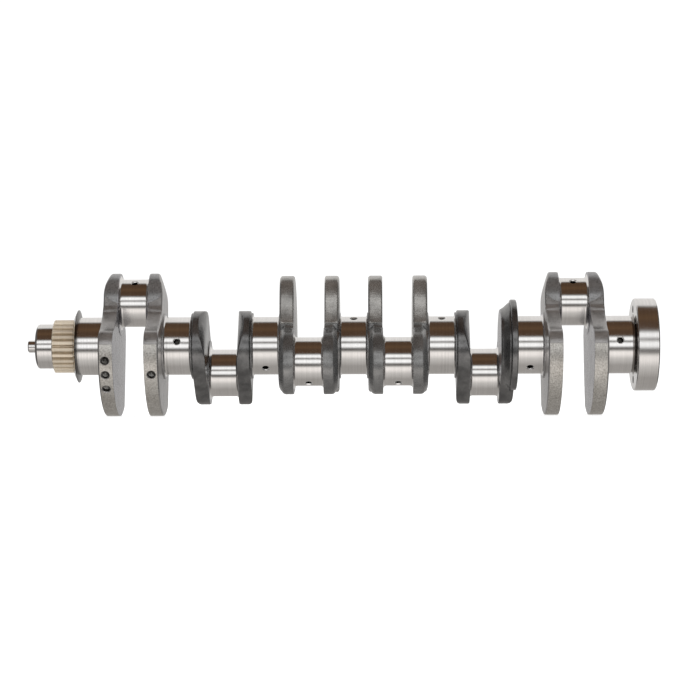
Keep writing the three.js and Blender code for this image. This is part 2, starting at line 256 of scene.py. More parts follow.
def add_mesh(name, verts, faces, materials, face_material=None, sharp=35.0):
    """face_material has each face's material as an index. Edges above sharp degrees are kept."""
    mesh = bpy.data.meshes.new(name)
    verts = (np.asarray(verts, float) * MM).tolist()
    mesh.from_pydata(verts, [], [list(map(int, f)) for f in faces])
    for material in materials:
        mesh.materials.append(material)
    if face_material is not None:
        mesh.polygons.foreach_set("material_index", np.asarray(face_material, np.int32))
    mesh.shade_smooth()
    mesh.set_sharp_from_angle(angle=math.radians(sharp))
    mesh.update()
    return linked(name, mesh)


def hand_in(obj, slot, *nodes):
    """Ties a finished piece to the one body and hides the CAD nodes it stands for."""
    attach(obj, "root")
    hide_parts(*nodes)


class Sheet:
    """Vertices and faces that are collected from several grids, and welded at the end."""

    def __init__(self):
        self.verts = []
        self.faces = []
        self.kinds = []
        self.count = 0

    def grid(self, points, kind=0, closed=False, flip=False):
        """points has the shape (rows, columns, 3). A closed grid's last column meets its first.
        kind is the index of the grid's material."""
        points = np.asarray(points, float)
        rows, columns = points.shape[:2]
        index = self.count + np.arange(rows * columns).reshape(rows, columns)
        self.verts.append(points.reshape(-1, 3))
        self.count += rows * columns
        right = np.roll(index, -1, axis=1) if closed else index[:, 1:]
        left = index if closed else index[:, :-1]
        quads = np.stack([left[:-1], right[:-1], right[1:], left[1:]], axis=-1).reshape(-1, 4)
        if flip:
            quads = quads[:, ::-1]
        self.faces.append(quads)
        self.kinds.append(np.full(len(quads), kind))

    def mesh(self, points, quads, kinds):
        self.verts.append(points)
        self.faces.append(quads + self.count)
        self.kinds.append(kinds)
        self.count += len(points)

    def make(self, name, materials, sharp=35.0):
        verts = np.concatenate(self.verts)
        faces = np.concatenate(self.faces)
        kinds = np.concatenate(self.kinds)
        keys = np.round(verts, 4)
        _, first, inverse = np.unique(keys, axis=0, return_index=True, return_inverse=True)
        inverse = inverse.reshape(-1)
        verts = verts[first]
        faces = inverse[faces]
        clean = []
        clean_kinds = []
        for face, kind in zip(faces.tolist(), kinds.tolist()):
            corners = [c for k, c in enumerate(face) if c != face[k - 1]]
            if len(corners) > 2:
                clean.append(corners)
                clean_kinds.append(kind)
        return add_mesh(name, verts, clean, materials, clean_kinds, sharp)


def fillet_profile(x_end, radius, size, direction, steps=8):
    """Points from a shoulder at x_end down a round fillet to the radius of a journal."""
    angles = np.linspace(0, math.pi / 2, steps + 1)
    x = x_end + direction * size * (1 - np.cos(angles))
    r = radius + size * (1 - np.sin(angles))
    return list(zip(x, r))


def pin_fillet(near_face):
    """The fillet between a pin and its web, as [distance from the pin's middle, radius]. Its first
    part belongs to the web and its second to the pin; near_face says which is wanted."""
    face = PLATE_NEAR - FACING_STEP
    split = math.asin(1 - (face - HALF) / PIN_FILLET)
    turn = np.linspace(math.pi / 2, split, 7) if near_face else np.linspace(split, 0, 5)
    t = face - PIN_FILLET * (1 - np.sin(turn))
    return list(zip(t, PIN_R + PIN_FILLET * (1 - np.cos(turn))))


def lathe_rows(profile, centre, angles):
    """Rings about the line through centre, one for each point [x, radius] of the profile."""
    rows = []
    for x, r in profile:
        rows.append(np.stack([np.full_like(angles, x), centre[1] - r * np.sin(angles),
                              centre[2] + r * np.cos(angles)], axis=-1))
    return np.array(rows)


def square_loop(reach):
    """The way round a square, in steps of one, as whole numbers from its middle."""
    side = np.arange(-reach, reach)
    loop = [(s, -reach) for s in side] + [(reach, s) for s in side]
    loop += [(-s, reach) for s in side] + [(-reach, -s) for s in side]
    return np.array(loop, float)


def open_square(taken, row, column, reach):
    """Marks the squares of a grid that a hole's patch takes up."""
    for c in range(column - reach, column + reach):
        taken[row - reach:row + reach, c % taken.shape[1]] = True


def pierced_grid(sheet, points, taken, flip=False):
    """A closed grid, column by column, without its taken squares."""
    rows, columns = taken.shape
    for c in range(columns):
        n = (c + 1) % columns
        start = None
        for row in range(rows + 1):
            if row < rows and not taken[row, c]:
                start = row if start is None else start
            elif start is not None:
                strip = np.stack([points[start:row + 1, c], points[start:row + 1, n]], axis=1)
                sheet.grid(strip, flip=flip)
                start = None


# ---- Journals and pins ----
DRUM_COLUMNS = 192
OIL_REACH = 7  # half of the side of the square that is left open for an oil hole
# Index 1 is the oil drilling's bore, whose near-black material is painted shade.
DRILLING_SHADE, MOUTH = 1, 2  # a journal's materials besides its surface, which is 0


def drum(sheet, centre, radius, start_profile, end_profile, holes):
    """A journal's surface about the line through centre, between its two ends' profiles. holes are
    the mouths of oil drillings at its middle, as angles about its own line."""
    x0, x1 = start_profile[-1][0], end_profile[0][0]
    phase = math.radians(holes[0]) if holes else 0.0
    step = 2 * math.pi / DRUM_COLUMNS
    angles = phase + step * np.arange(DRUM_COLUMNS)
    rows = 2 * max(2, round((x1 - x0) / (radius * step) / 2))
    xs = np.linspace(x0, x1, rows + 1)
    for profile in (start_profile, end_profile):
        sheet.grid(lathe_rows(profile, centre, angles), closed=True)
    taken = np.zeros((rows, DRUM_COLUMNS), bool)
    for hole in holes:
        column = round((math.radians(hole) - phase) / step) % DRUM_COLUMNS
        open_square(taken, rows // 2, column, OIL_REACH)
        hole_patch(sheet, centre, radius, phase + column * step, (x0 + x1) / 2, step, xs[1] - xs[0])
    pierced_grid(sheet, lathe_rows([(x, radius) for x in xs], centre, angles), taken)


def hole_patch(sheet, centre, radius, angle, middle, step, dx):
    """The square round an oil hole's mouth: rings from the square to the chamfer, then the bore."""
    square = square_loop(OIL_REACH) * [radius * step, dx]
    turn = np.arctan2(square[:, 1], square[:, 0])

    def on_surface(arcs, lengths, depth=0.0):
        around = angle + arcs / radius
        r = radius - depth
        return np.stack([middle + lengths, centre[1] - r * np.sin(around),
                         centre[2] + r * np.cos(around)], axis=-1)

    mouth = OIL_R + OIL_CHAMFER
    rim = mouth * np.stack([np.cos(turn), np.sin(turn)], axis=-1)
    rings = [on_surface(*(square * (1 - k) + rim * k).T) for k in np.linspace(0, 1, 5)]
    sheet.grid(rings, closed=True)
    steps = [(mouth, 0.0), (mouth - 0.5 * OIL_CHAMFER, 0.6 * OIL_CHAMFER)]
    steps += [(OIL_R, 1.3 * OIL_CHAMFER)]
    chamfer = [on_surface(r * np.cos(turn), r * np.sin(turn), depth) for r, depth in steps]
    sheet.grid(chamfer, MOUTH, closed=True)
    bore = [chamfer[-1]]
    for depth in (6.0, 12.0, OIL_DEPTH - 1):
        arcs = OIL_R * np.cos(turn) * radius / (radius - depth)
        bore.append(on_surface(arcs, OIL_R * np.sin(turn), depth))
    bore.append(on_surface(0 * turn, 0 * turn, OIL_DEPTH))
    sheet.grid(bore, DRILLING_SHADE, closed=True)


def journal(name, node, radius, holes, ends):
    """A ground journal or pin. ends says what it is at its two sides: a journal that meets a "web",
    a pin that meets a "pin web", or a free "end"."""
    x0, x1 = cad_span(node)
    middle = (x0 + x1) / 2
    profiles = []
    for x, direction, kind in ((x0, 1, ends[0]), (x1, -1, ends[1])):
        if kind == "pin web":
            profile = [(middle - direction * t, r) for t, r in pin_fillet(False)]
        elif kind == "web":
            profile = fillet_profile(x, radius, MAIN_FILLET, direction)
        else:
            profile = [(x, radius)]
        profiles.append([(x, 0.0), (x, radius * 0.5)] + profile)
    start, end = profiles[0], profiles[1][::-1]
    sheet = Sheet()
    drum(sheet, cad_centre(node), radius, start, end, holes)
    obj = sheet.make(name, [GROUND, BORE_SHADE, EDGE], 28.0)
    hand_in(obj, "ground_steel", node)


# ---- Webs: signed distances, in the web's own axes ----
# u runs from the crank axis to the pin, v across it, and t along the axis from the pin's middle.
# A web is of one of four kinds: "end" and "middle" ones carry a counterweight, "plain" ones don't,
# and the "collar" one flares into the thrust collar.
NEAR_EDGE = 1.2  # the round of a web's edge on the pin side
# The rounds of a counterweight's edge on the pin side, and of every edge on the main side.
PLATE_EDGES = {"end": (1.0, 3.0), "middle": (3.0, 4.0), "plain": (1.6, 2.5), "collar": (1.6, 2.5)}
WEIGHT_BLEND = 7.0  # the hollow between a web and its counterweight
PIN_BEVEL_ROUND, MAIN_BEVEL_ROUND = 3.0, 2.0
FACING_EDGE, FACING_BLEND = 0.3, 0.6  # the round of the facing's edge, and the hollow at its foot
PAD_EDGE, PAD_BLEND = 0.5, 1.0
FLANK_U, NOTCH_U = 47.0, 44.0  # the heights where a counterweight's two sides leave the web
WEIGHT_TO = 217.0  # the rim's far end, in degrees from the throw
SPLIT = 2.0  # a counterweight starts this far outside its web's outline
SPLIT_TIPS = (43.0, 40.5)  # heights on its two sides beyond which it would run out in a sliver
FORGED_STEP = 2.0  # how far the forged web lies inside its turned lobe on the pin side
DRAFT = 0.12  # how much it widens towards its main side, per millimetre
FLARE_SLOPE, FLARE_COS = 0.92, 0.736  # of the collar's flare, and the cosine of its angle
FLARE_BLEND = 5.0
GROOVE = (65.5, 34.6, 2.6)  # behind the collar: radius about the axis, place along it, round's size
GROOVE_EDGE = 1.5
GROOVE_FADE_U = 18.0  # the groove runs out towards the lobe from this height
ROOM_GAP, ROOM_HALF_WIDTH = 0.3, 48.9  # of the space that is kept free for the collar's ring
BALANCE_R, BALANCE_DEPTH, BALANCE_CHAMFER = 5.6, 11.0, 1.3
# Balance drillings of counterweights 1 and 2: degrees from the throw, and place along the axis.
BALANCE = {1: ((110.7, 33.5), (122.8, 33.5), (135.8, 33.5)), 2: ((122.6, 33.0),)}


def capsule(u, v, r0, r1):
    """Two circles, r0 about the axis and r1 about the pin, and their common tangents."""
    b = (r0 - r1) / THROW
    a = np.sqrt(1 - b * b)
    side = np.abs(v)
    along = a * u - b * side
    middle = a * side + b * u - r0
    low = np.hypot(u, v) - r0
    high = np.hypot(u - THROW, v) - r1
    return np.where(along < 0, low, np.where(along > a * THROW, high, middle))


def smooth_union(a, b, k):
    """Both a and b, with a hollow round of about the size k where they meet."""
    h = np.clip(0.5 + 0.5 * (b - a) / k, 0, 1)
    return b * (1 - h) + a * h - k * h * (1 - h)


def smooth_cut(a, b, k):
    """a where it is also inside b, with a rounded edge between them."""
    return -smooth_union(-a, -b, k)


def slab(outline, t, near, far, near_edge, far_edge=None):
    """An outline between two faces, with its edges rounded by near_edge and far_edge."""
    edge = np.where(t < (near + far) / 2, near_edge, far_edge or near_edge)
    across = outline + edge
    along = np.maximum(near - t, t - far) + edge
    corner = np.hypot(np.maximum(across, 0), np.maximum(along, 0))
    return np.minimum(np.maximum(across, along), 0) + corner - edge


def polygon(u, v, corners):
    """Signed distance to a closed outline."""
    u, v = np.broadcast_arrays(u, v)
    best = np.full(u.shape, 1e18)
    crossings = np.zeros(u.shape, bool)
    for (u0, v0), (u1, v1) in zip(corners, corners[1:] + corners[:1]):
        eu, ev = u1 - u0, v1 - v0
        wu, wv = u - u0, v - v0
        k = np.clip((wu * eu + wv * ev) / (eu * eu + ev * ev), 0, 1)
        best = np.minimum(best, (wu - eu * k) ** 2 + (wv - ev * k) ** 2)
        if v0 != v1:
            spans = (v0 > v) != (v1 > v)
            crossings ^= spans & (u < eu * wv / ev + u0)
    return np.where(crossings, -1, 1) * np.sqrt(best)


def half_width(u, lobe):
    """Half of a web's width where its straight side passes the height u."""
    turn = math.acos((WEB_R - lobe) / THROW)
    return WEB_R * math.sin(turn) - (u - WEB_R * math.cos(turn)) / math.tan(turn)


def bezier(*controls):
    """Points of a curve of any order, without its last point."""
    points = np.array(controls, float)[:, None, :]
    k = np.linspace(0, 1, 12, endpoint=False)[:, None]
    while len(points) > 1:
        points = points[:-1] * (1 - k) + points[1:] * k
    return [tuple(p) for p in points[0]]


def weight_outline(kind, lobe):
    """The flank that leads from the web's side out to the rim is hollow on the end webs, and on the
    middle ones it swells out and turns over in a wide round."""
    root = (FLANK_U, half_width(FLANK_U, lobe))
    if kind == "end":
        flank = bezier(root, (18.0, 71.0), (9.5, 89.0))
        flank += bezier((9.5, 89.0), (3.0, 103.0), (-16.0, 102.6))
    else:
        flank = bezier(root, (37.7, 57.2), (29.9, 68.6), (23.1, 79.5))
        flank += bezier((23.1, 79.5), (13.6, 94.8), (3.2, 104.6), (-10.7, 103.4))
    start = math.degrees(math.atan2(flank[-1][1], flank[-1][0])) + 1
    rim = [math.radians(a) for a in np.linspace(start, WEIGHT_TO, 50)]
    corners = flank + [(WEIGHT_R * math.cos(a), WEIGHT_R * math.sin(a)) for a in rim]
    notch = (NOTCH_U, -half_width(NOTCH_U, lobe))
    return corners + [(-40.0, -65.0), (24.0, -65.0), (34.0, -60.0), notch]


def body_outline(u, v, t, lobe):
    """The forged web, which widens towards its main side, and the turned lobe round the pin."""
    forged = capsule(u, v, WEB_R, lobe - FORGED_STEP + DRAFT * (t - PLATE_NEAR))
    turned = np.hypot(u - THROW, v) - lobe
    return np.minimum(forged, turned)


def pin_bevel(kind, body, u, t, lobe):
    """The bevel on the main side of the lobe. On an end web it is a plane that starts high on the
    lobe, on an unweighted one it curves away, and on a middle one it is a band along the edge,
    which ends just below the counterweight's flanks."""
    if kind == "middle":
        width, end_u, taper = 9.5, 46.0, 3.0
        band = width - taper * np.clip(end_u - u, 0, None)
        return (body + band) * 0.6 + (t - PLATE_FAR) * 0.8
    if kind == "end":
        start, depth = 80.0, 8.0
        rise = THROW + lobe - start
        return ((u - start) * depth + (t - PLATE_FAR) * rise) / math.hypot(rise, depth)
    start, depth = 58.0, 12.0
    share = np.clip((u - start) / (THROW + lobe - start), 0, 1.3)
    slope = 2 * depth / (THROW + lobe - start) * share
    return (t - PLATE_FAR + depth * share ** 2) / np.sqrt(1 + slope ** 2)


def main_bevel(u, t):
    """The bevel on the pin side of an unweighted web, which curves away towards the rim."""
    start, depth = 8.0, 11.0
    rise = WEB_R - start
    share = np.clip((-u - start) / rise, 0, 1.3)
    slope = 3 * depth / rise * share ** 2
    return (PLATE_NEAR + depth * share ** 3 - t) / np.sqrt(1 + slope ** 2)


def drill(u, v, t, angle, t0):
    """A radial drilling in a counterweight's rim, with a pointed bottom and a small chamfer."""
    slope = 1.5  # of the pointed bottom
    a = math.radians(angle)
    along = WEIGHT_R - (u * math.cos(a) + v * math.sin(a))
    off = np.hypot(v * math.cos(a) - u * math.sin(a), t - t0)
    tip = (off + (along - BALANCE_DEPTH) * slope) / math.hypot(1, slope)
    bore = np.maximum(off - BALANCE_R, tip)
    mouth = (off - BALANCE_R - BALANCE_CHAMFER + along) / math.sqrt(2)
    return np.minimum(bore, np.maximum(mouth, along - 3.0))


def web_field(kind, lobe, part, holes=()):
    """The signed distance to a web, or to its counterweight where part says "weight"."""
    weighted = kind in ("end", "middle")
    corners = weight_outline(kind, lobe) if weighted else None
    near_edge, far_edge = PLATE_EDGES[kind]

    def collared(whole, from_axis, u, v, t):
        """Adds the flare to the collar, and cuts its groove and the room for the collar's ring."""
        flare = (from_axis - WEB_R - (t - PLATE_NEAR) * FLARE_SLOPE) * FLARE_COS
        flare = np.maximum(flare, np.maximum(PLATE_NEAR - t, t - COLLAR_NEAR))
        whole = smooth_union(whole, flare, FLARE_BLEND)
        groove_r, groove_t, size = GROOVE
        groove = np.hypot(from_axis - groove_r, t - groove_t) - size
        groove = groove + np.clip((u - GROOVE_FADE_U) * 0.2, 0, 9.0)
        whole = smooth_cut(whole, -groove, GROOVE_EDGE)
        room = np.minimum(from_axis - COLLAR_R - ROOM_GAP, ROOM_HALF_WIDTH - np.abs(v))
        room = np.maximum(room, COLLAR_NEAR - t)
        return np.maximum(whole, -room)

    def field(u, v, t):
        body = body_outline(u, v, t, lobe)
        whole = slab(body, t, PLATE_NEAR, PLATE_FAR, NEAR_EDGE, far_edge)
        if weighted:
            weight = slab(polygon(u, v, corners), t, PLATE_NEAR, PLATE_FAR, near_edge, far_edge)
            whole = smooth_union(whole, weight, WEIGHT_BLEND)
            whole = np.maximum(whole, np.maximum(PLATE_NEAR - t, t - PLATE_FAR))
        elif kind == "plain":
            whole = smooth_cut(whole, main_bevel(u, t), MAIN_BEVEL_ROUND)
        whole = smooth_cut(whole, pin_bevel(kind, body, u, t, lobe), PIN_BEVEL_ROUND)
        if part == "weight":
            whole = np.maximum(whole, SPLIT - body)
            whole = np.maximum(whole, u - np.where(v > 0, *SPLIT_TIPS))
            for angle, t0 in holes:
                whole = np.maximum(whole, -drill(u, v, t, angle, t0))
            return whole
        if weighted:
            whole = np.maximum(whole, body - SPLIT)
        from_axis = np.hypot(u, v)
        if kind == "collar":
            whole = collared(whole, from_axis, u, v, t)
        facing = np.maximum(np.hypot(u - THROW, v) - FACING_R, body + 0.4)
        facing = slab(facing, t, PLATE_NEAR - FACING_STEP, PLATE_NEAR + 4, FACING_EDGE)
        whole = smooth_union(whole, facing, FACING_BLEND)
        if kind != "collar":
            main_pad = slab(from_axis - MAIN_PAD_R, t, PLATE_FAR - 4, SHOULDER, PAD_EDGE)
            whole = smooth_union(whole, main_pad, PAD_BLEND)
        return whole

    return field


PROBE = 0.02  # the step that a field's slope is measured over
PULL = 0.03  # how firmly a point is held at the middle of its cell's crossings
SLACK = 0.1  # how far a point may leave its cell, in cells


def dual_contour(field, low, high, cell):
    """Quads on the zero surface of a field, with its sharp edges kept."""
    low = np.array(low, float)
    counts = [int(math.ceil((b - a) / cell)) + 1 for a, b in zip(low, high)]
    axes = [a + cell * np.arange(n) for a, n in zip(low, counts)]
    value = field(*np.meshgrid(*axes, indexing="ij", sparse=True))
    value = np.array(np.broadcast_to(value, counts))
    inside = value < 0
    strides = np.array([(counts[1] - 1) * (counts[2] - 1), counts[2] - 1, 1])
    quads, points, normals = [], [], []
    for axis in range(3):
        one = np.eye(3, dtype=int)[axis]
        first = np.take(inside, range(counts[axis] - 1), axis)
        second = np.take(inside, range(1, counts[axis]), axis)
        index = np.argwhere(first != second)
        others = [(axis + 1) % 3, (axis + 2) % 3]
        for other in others:
            index = index[(index[:, other] > 0) & (index[:, other] < counts[other] - 1)]
        va = value[tuple(index.T)]
        vb = value[tuple((index + one).T)]
        lo = np.zeros(len(index))
        hi = np.ones(len(index))
        for _ in range(3):
            k = np.clip(lo + (hi - lo) * va / (va - vb), lo, hi)
            at = low + cell * (index + k[:, None] * one)
            f = field(*at.T)
            same = (f < 0) == (va < 0)
            lo, va = np.where(same, k, lo), np.where(same, f, va)
            hi, vb = np.where(same, hi, k), np.where(same, vb, f)
        at = low + cell * (index + k[:, None] * one)
        slope = np.empty_like(at)
        for c in range(3):
            step = np.zeros(3)
            step[c] = PROBE
            slope[:, c] = field(*(at + step).T) - field(*(at - step).T)
        slope /= np.maximum(np.linalg.norm(slope, axis=1, keepdims=True), 1e-9)
        around = []
        for d1, d2 in ((1, 1), (0, 1), (0, 0), (1, 0)):
            moved = index.copy()
            moved[:, others[0]] -= d1
            moved[:, others[1]] -= d2
            around.append(moved @ strides)
        around = np.stack(around, axis=1)
        leaving = inside[tuple(index.T)]
        quads.append(np.where(leaving[:, None], around, around[:, ::-1]))
        points.append(at)
        normals.append(slope)
    quads = np.concatenate(quads)
    points = np.repeat(np.concatenate(points), 4, axis=0)
    normals = np.repeat(np.concatenate(normals), 4, axis=0)
    cells, owner = np.unique(quads.reshape(-1), return_inverse=True)
    owner = owner.reshape(-1)
    total = len(cells)

    def summed(values):
        return np.bincount(owner, values, total)

    count = summed(np.ones(len(owner)))
    mean = np.stack([summed(points[:, c]) for c in range(3)], axis=1) / count[:, None]
    offset = np.einsum("ij,ij->i", normals, points - mean[owner])
    matrix = np.empty((total, 3, 3))
    side = np.empty((total, 3))
    for r in range(3):
        side[:, r] = summed(normals[:, r] * offset)
        for c in range(3):
            matrix[:, r, c] = summed(normals[:, r] * normals[:, c])
    matrix += PULL * count[:, None, None] * np.eye(3)
    move = np.linalg.solve(matrix, side[:, :, None])[:, :, 0]
    corner = np.stack(np.unravel_index(cells, [n - 1 for n in counts]), axis=1)
    lowest, highest = low + cell * (corner - SLACK), low + cell * (corner + (1 + SLACK))
    spot = np.clip(mean + move, lowest, highest)
    return spot, owner.reshape(-1, 4)


CELL = 1.1
OFF_GRID = 0.37  # moves the cells, so that no flat face lies between two of them
shapes = {}


def shape(kind, lobe, part, holes=()):
    """The mesh of a web or a counterweight in its own axes, made once for all that are like it."""
    key = (kind, lobe, part, holes)
    if key not in shapes:
        near = PLATE_NEAR - FACING_STEP - 2
        if part == "weight":
            low, high = (-107.0, -69.0, near), (60.0, 107.0, PLATE_FAR + 2)
        elif kind == "collar":
            low, high = (-72.0, -72.0, near), (THROW + lobe + 3, 72.0, SHOULDER + 2)
        else:
            low, high = (-58.0, -58.0, near), (THROW + lobe + 3, 58.0, SHOULDER + 2)
        low = tuple(a + OFF_GRID for a in low)
        shapes[key] = dual_contour(web_field(kind, lobe, part, holes), low, high, CELL)
    return shapes[key]


def place(spot, quads, pin, side, hand):
    """From a web's own axes to the row frame. side is -1 on the nose's side of the pin and 1 on the
    flange's side, and hand is -1 where the web is mirrored across its throw."""
    x, y, z = pin
    size = math.hypot(y, z)
    up = np.array([y, z]) / size
    front = np.array([-up[1], up[0]])
    u, v, t = spot.T
    v = v * hand
    world = np.stack([x + side * t, u * up[0] + v * front[0], u * up[1] + v * front[1]], axis=1)
    return world, quads if side * hand > 0 else quads[:, ::-1]


def web_kind(number):
    pin = (number + 1) // 2
    if f"counterweight_{number:02d}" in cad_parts:
        return "end" if pin in (1, 6) else "middle"
    return "collar" if number == 10 else "plain"


# A face of a web's mesh gets the material of a turned or milled surface that it is this close to.
AT_RIM, AT_LOBE, AT_FACE, AT_PAD = 0.3, 0.25, 0.2, 0.3


def pin_root(sheet, pin, side):
    """The end of the pin's fillet that belongs to the web: a disc let into its face."""
    arc = pin_fillet(True)
    t_end, r_end = arc[0]
    t_back = t_end + 0.7
    profile = [(t_back, 0.0), (t_back, r_end)] + arc + [(HALF, arc[-1][1] * 0.5), (HALF, 0.0)]
    profile = [(pin[0] + side * t, r) for t, r in profile]
    angles = np.linspace(0, 2 * math.pi, 160, endpoint=False)
    sheet.grid(lathe_rows(profile if side < 0 else profile[::-1], pin, angles), 3, closed=True)


def web_piece(number):
    i = (number - 1) // 2
    side = -1 if number % 2 else 1
    pin = cad_centre(f"crankpin_{i + 1}")
    lobe = END_LOBE_R if i in (0, 5) else MID_LOBE_R
    kind = web_kind(number)
    hand = -1 if i in (2, 3) else 1
    spot, quads = shape(kind, lobe, "web")
    world, faces = place(spot, quads, pin, side, hand)
    u, v, t = spot[quads].mean(axis=1).T
    rim = np.abs(np.hypot(u - THROW, v) - lobe) < AT_LOBE
    faced = (t < PLATE_NEAR - FACING_STEP + AT_FACE) | (t > SHOULDER - AT_PAD)
    if kind == "end":
        faced |= t < PLATE_NEAR + AT_FACE
    kinds = np.where(faced, 2, np.where(rim & (kind == "end"), 1, 0))
    base = {"end": FORGED_LIGHT, "middle": FORGED_WEB_SHADE}.get(kind, FORGED)
    sheet = Sheet()
    sheet.mesh(world, faces, kinds)
    pin_root(sheet, pin, side)
    obj = sheet.make(f"web_{number:02d}_forging", [base, LOBE_RIM, FACED, GROUND], 32.0)
    hand_in(obj, "forged_steel", f"web_{number:02d}")
    if kind in ("end", "middle"):
        weight_piece(number, kind, side, hand, pin, lobe)


def weight_piece(number, kind, side, hand, pin, lobe):
    spot, quads = shape(kind, lobe, "weight", BALANCE.get(number, ()))
    world, faces = place(spot, quads, pin, side, hand)
    u, v, t = spot[quads].mean(axis=1).T
    from_axis = np.hypot(u, v)
    rim = np.abs(from_axis - WEIGHT_R) < AT_RIM
    # The insides of the balance drillings: below the rim, and in the band that holds them all. They
    # take a darker steel that paints their shade.
    hole_shade = (from_axis < WEIGHT_R - 1.5) & (from_axis > WEIGHT_R - 17.5)
    hole_shade &= (np.abs(t - 33) < 6.2) & (u < -20) & (v > 40)
    face = (t < PLATE_NEAR + AT_FACE) & (kind == "end")
    kinds = np.where(face, 3, np.where(rim, 1, np.where(hole_shade, 2, 0)))
    base, rim_steel = (FORGED_LIGHT, WEIGHT_RIM) if kind == "end" else (FORGED_MID, FORGED_MID)
    materials = [base, rim_steel, BALANCE_HOLE_SHADE, FACED]
    obj = add_mesh(f"counterweight_{number:02d}_plate", world, faces, materials, kinds, 32.0)
    slot = "weight_rim_steel" if kind == "end" else "forged_steel"
    hand_in(obj, slot, f"counterweight_{number:02d}")


for number in range(1, 13):
    web_piece(number)

# The journals and pins, and the angle of each throw.
throw_angle = []
for i in range(6):
    _, y, z = cad_centre(f"crankpin_{i + 1}")
    throw_angle.append(math.degrees(math.atan2(-y, z)))
for i in range(6):
    angle = throw_angle[i] + PIN_OIL_ANGLE
    journal(f"crankpin_{i + 1}_ground", f"crankpin_{i + 1}", PIN_R, [angle], ("pin web", "pin web"))
for i in range(7):
    holes = [] if i == 0 else [throw_angle[i - 1] + 90, throw_angle[i - 1] + 270]
    ends = ("web" if i > 0 else "end", "web" if i < 6 else "end")
    journal(f"main_journal_{i + 1}_ground", f"main_journal_{i + 1}", MAIN_R, holes, ends)


# ---- Turned pieces on the axis ----
AXIS = np.zeros(3)


def turned_piece(name, profile, materials, slot, node, kinds=None, columns=160, sharp=28.0):
    """A solid of revolution. Each stretch of its profile is a list of [x, radius] points."""
    sheet = Sheet()
    angles = np.linspace(0, 2 * math.pi, columns, endpoint=False)
    for n, stretch in enumerate(profile):
        sheet.grid(lathe_rows(stretch, AXIS, angles), kinds[n] if kinds else 0, closed=True)
    hand_in(sheet.make(name, materials, sharp), slot, node)


def round_corner(x, r, dx, dr, steps=5):
    """An outer corner at (x, r), from (x, r - dr) to (x + dx, r)."""
    a = np.linspace(0, math.pi / 2, steps + 1)
    return [(x + dx * (1 - math.cos(k)), r - dr * (1 - math.sin(k))) for k in a]


x0, x1 = cad_span("thrust_collar")
front = round_corner(x0, COLLAR_R, 2.5, 2.5) + [(x1 - 2.0, COLLAR_R)]
collar = [[(x0, 0.0), (x0, 40.0)] + front, round_corner(x1, COLLAR_R, -2.0, 2.0)[::-1],
          [(x1, COLLAR_R - 2.0), (x1, 48.0), (x1, 20.0), (x1, 0.0)]]
turned_piece("thrust_collar_ring", collar, [FORGED, FACED], "forged_steel", "thrust_collar",
             [0, 0, 1])

x0, x1 = cad_span("front_pilot")
pilot = [[(x0, 0.0), (x0, 5.0), (x0, STUB_R - 1.5), (x0 + 1.5, STUB_R), (x0 + 2.0, STUB_R),
          (x1 - 1.2, STUB_R), (x1 - 0.6, STUB_R), (x1, STUB_R), (x1, 0.0)]]
turned_piece("front_pilot_stub", pilot, [POLISHED], "ground_steel", "front_pilot", columns=96)

x0, x1 = cad_span("snout")
snout = [[(x0, 0.0), (x0, 23.8), (x0 + 1.2, SNOUT_R), (x1, SNOUT_R), (x1, 0.0)]]
turned_piece("snout_core", snout, [GROUND], "ground_steel", "snout", columns=128)

x0, x1 = cad_span("nose_sleeve")
sleeve = [[(x0, FIT_R)] + round_corner(x0, SLEEVE_R, 4.5, 7.5, 8) + [(x1 - 1.0, SLEEVE_R)],
          [(x1 - 1.0, SLEEVE_R), (x1, 32.2), (x1, FIT_R)],
          [(x1, FIT_R), (x0, FIT_R)]]
turned_piece("nose_sleeve_ground", sleeve, [POLISHED], "ground_steel", "nose_sleeve")

x0, x1 = cad_span("oil_slinger")
EDGE_X, EDGE_R, HALF_SHEET = -409.0, 54.0, 0.35  # the rim of the slinger's disc
HUB_X = EDGE_X + 2.0  # behind the disc the slinger's hub continues the journal
# The slinger's rim, its bevel towards the hub and its bore take the near-black steel, which paints
# their shade and dark reflection.
slinger = [[(x0 + 2, FIT_R), (x0 + 2, 42.0), (x0, 45.0), (x0, 47.5)],
           [(x0, 47.5), (EDGE_X - HALF_SHEET, EDGE_R)],
           [(EDGE_X - HALF_SHEET, EDGE_R), (EDGE_X + HALF_SHEET, EDGE_R)],
           [(EDGE_X + HALF_SHEET, EDGE_R), (HUB_X, 46.0), (HUB_X, MAIN_R)],
           [(HUB_X, MAIN_R), (x1, MAIN_R), (x1, FIT_R)], [(x1, FIT_R), (x0 + 2, FIT_R)]]
turned_piece("oil_slinger_disc", slinger, [SHADE_STEEL, TURNED], "plain_steel", "oil_slinger",
             [1, 1, 0, 0, 1, 0])

x0, x1 = cad_span("rear_neck")
neck = [[(x0, 0.0), (x0, NECK_R)] + fillet_profile(x1, NECK_R, 4.0, -1)[::-1] + [(x1, 0.0)]]
turned_piece("rear_neck_turned", neck, [NECK], "turned_steel", "rear_neck")

# ---- Timing gear ----
TEETH, MODULE = 26, 2.8


def gear_outline():
    """The toothed outline, as angles and radii. A tooth's own places are shares of its pitch."""
    pitch_r = TEETH * MODULE / 2
    root_r, tip_r = pitch_r - 1.25 * MODULE, pitch_r + MODULE
    rows = [(-0.5, root_r), (-0.46, root_r), (-0.43, root_r + 0.5), (-0.4, root_r + 1.3),
            (-0.33, pitch_r), (-0.28, pitch_r + 1.4), (-0.235, tip_r - 0.25), (-0.21, tip_r)]
    rows += [(0.0, tip_r)] + [(-a, r) for a, r in rows[:0:-1]]
    rows = sorted(set(rows))
    points = []
    for tooth in range(TEETH):
        for share, r in rows:
            points.append(((tooth + share) * 2 * math.pi / TEETH, r))
    return np.array(points)


